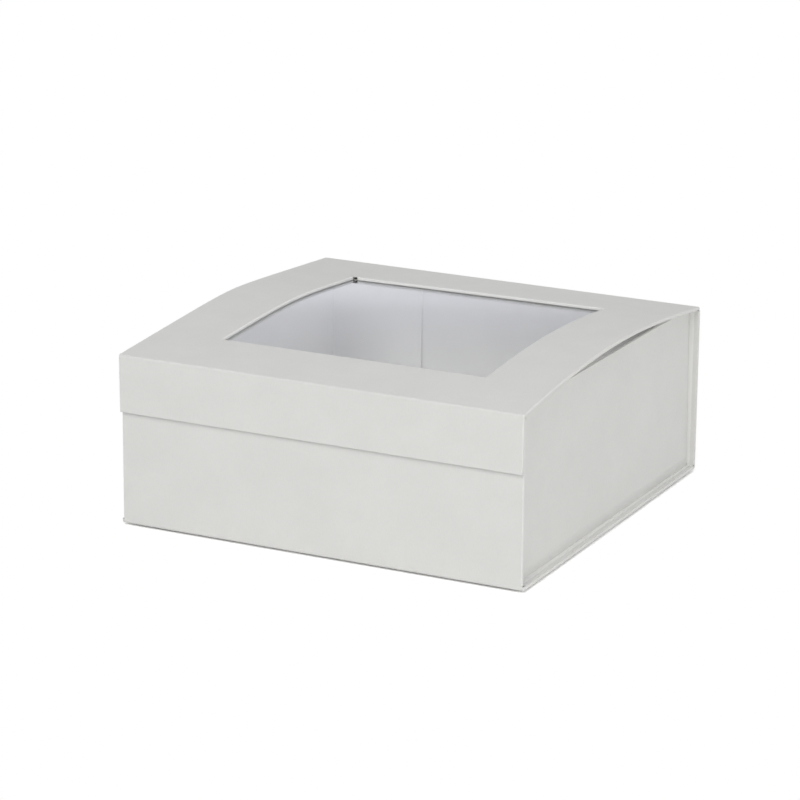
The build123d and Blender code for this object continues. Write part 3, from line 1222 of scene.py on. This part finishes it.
def seen_rays(tree):
    """One for rays that show the background, straight from the camera or mirrored; nought for the rest."""
    rays = tree.nodes.new("ShaderNodeLightPath")
    return arithmetic(tree, "MAXIMUM", rays.outputs["Is Camera Ray"], rays.outputs["Is Glossy Ray"])


def put(name, data, place, back, up):
    """A lamp or camera at a place, whose own Z points back and whose own Y points up."""
    right = unit(np.cross(up, back))
    matrix = np.eye(4)
    matrix[:3] = np.stack([right, np.cross(back, right), back, place], axis=-1)
    thing = bpy.data.objects.new(name, data)
    bpy.context.scene.collection.objects.link(thing)
    thing.matrix_world = Matrix(matrix.tolist())
    return thing


class GIFTBOX_OT_stage(Operator):
    """Floor, surrounding light, lamps and camera"""

    bl_idname = "giftbox.stage"
    bl_label = "Stage"

    def execute(self, context):
        scene = context.scene
        scene.view_settings.view_transform = "Standard"
        self.floor(scene.gift_box_studio)
        self.world(scene.gift_box_studio)
        self.lamps(scene.gift_box_studio)
        self.camera(scene.gift_box_studio)
        return {"FINISHED"}

    def floor(self, studio):
        """A wide flat sheet just under the box. It keeps the box's shadow and shows as white elsewhere, and
        away from the box it is plain white."""
        reach, drop, fade = 8.0, 1.4 * MM, 6 * MM
        points, faces, *_ = even_sheet(-reach, reach, -reach, reach, reach).net()
        points[:, 2] -= drop
        material, tree, shader = new_material("floor")
        tree.nodes.remove(shader)
        seen = seen_rays(tree)
        bright = ranged(tree, seen, studio.floor, studio.floor_white)
        matt = add(tree, "BsdfDiffuse", "BSDF", {"Color": bright})
        white = add(tree, "Emission", "Emission")
        share = arithmetic(tree, "MULTIPLY", seen, ranged(tree, self.outside(tree), 0.0, 1.0, stop=fade))
        feed(tree, tree.nodes["Material Output"], {"Surface": either(tree, share, matt, white)})
        new_piece("floor", points, faces, material)

    def outside(self, tree):
        """Distance of a floor point from the box's outline in plan, along X or Y, whichever is more."""
        beyond = [
            arithmetic(tree, "SUBTRACT", arithmetic(tree, "ABSOLUTE", along_axis(tree, axis)), half)
            for axis, half in (("X", base_high[0]), ("Y", lid_high[1]))
        ]
        return arithmetic(tree, "MAXIMUM", *beyond)

    def world(self, studio):
        """Even light from all round; seen directly or mirrored it is plain white."""
        world = bpy.data.worlds.new("surround")
        world.use_nodes = True
        tree = world.node_tree
        light = tree.nodes["Background"]
        feed(tree, light, {"Color": SURROUND_TINT, "Strength": studio.surround})
        white = add(tree, "Background", "Background", {"Color": (1.0, 1.0, 1.0, 1.0), "Strength": 1.0})
        shown = either(tree, seen_rays(tree), light.outputs["Background"], white)
        feed(tree, tree.nodes["World Output"], {"Surface": shown})
        bpy.context.scene.world = world

    def lamps(self, studio):
        """Three broad lamps, each aimed at the middle of the box."""
        middle = np.array([0.0, 0.0, lid_edge_height / 2])
        for name, lamp in LAMPS.items():
            data = bpy.data.lights.new(name, "AREA")
            data.energy = getattr(studio, name + "_power")
            data.size = lamp["size"]
            data.color = lamp["colour"]
            put(name, data, lamp["place"], unit(np.array(lamp["place"]) - middle), (0.0, 1.0, 0.0))

    def camera(self, studio):
        """The photograph's viewpoint: turned, raised and rolled, then slid in its own picture plane."""
        turn, rise, roll = studio.azimuth, studio.elevation, studio.roll
        back = np.array([math.sin(turn) * math.cos(rise), -math.cos(turn) * math.cos(rise), math.sin(rise)])
        level = np.array([math.cos(turn), math.sin(turn), 0.0])
        upright = np.cross(back, level)
        right = math.cos(roll) * level + math.sin(roll) * upright
        up = math.cos(roll) * upright - math.sin(roll) * level
        place = back * studio.distance - right * studio.slide_right - up * studio.slide_up
        data = bpy.data.cameras.new("camera")
        data.sensor_width = PICTURE_WIDTH
        data.lens = studio.focal_length
        bpy.context.scene.camera = put("camera", data, place, back, up)


class GIFTBOX_PT_sidebar(Panel):
    """Sizes, colours and steps of the gift box"""

    bl_idname = "GIFTBOX_PT_sidebar"
    bl_label = "Gift Box"
    bl_space_type = "VIEW_3D"
    bl_region_type = "UI"
    bl_category = "Gift Box"

    def draw(self, context):
        for group in SETTINGS:
            box = self.layout.box()
            settings = getattr(context.scene, group)
            for name in settings.__annotations__:
                box.prop(settings, name)
        for operator in OPERATORS:
            self.layout.operator(operator.bl_idname)


SETTINGS = {
    "gift_box_paper": PaperSizes,
    "gift_box_walls": WallSizes,
    "gift_box_lid": LidSizes,
    "gift_box_colours": FinishColours,
    "gift_box_studio": StudioSettings,
}
OPERATORS = (
    GIFTBOX_OT_case_panels,
    GIFTBOX_OT_base_folds,
    GIFTBOX_OT_side_walls,
    GIFTBOX_OT_lid,
    GIFTBOX_OT_window_film,
    GIFTBOX_OT_flap,
    GIFTBOX_OT_hinge_folds,
    GIFTBOX_OT_inner_parts,
    GIFTBOX_OT_stage,
)
CLASSES = (*SETTINGS.values(), *OPERATORS, GIFTBOX_PT_sidebar)


def register():
    """Makes the classes known and gives the scene its settings."""
    for known in CLASSES:
        bpy.utils.register_class(known)
    for name, group in SETTINGS.items():
        setattr(bpy.types.Scene, name, PointerProperty(type=group))


def unregister():
    """Takes the settings and the classes away again."""
    for name in SETTINGS:
        delattr(bpy.types.Scene, name)
    for known in reversed(CLASSES):
        bpy.utils.unregister_class(known)


def main():
    """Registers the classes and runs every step."""
    register()
    bpy.ops.giftbox.case_panels()
    bpy.ops.giftbox.base_folds()
    bpy.ops.giftbox.side_walls()
    bpy.ops.giftbox.lid()
    bpy.ops.giftbox.window_film()
    bpy.ops.giftbox.flap()
    bpy.ops.giftbox.hinge_folds()
    bpy.ops.giftbox.inner_parts()
    bpy.ops.giftbox.stage()


if __name__ == "__main__":
    main()
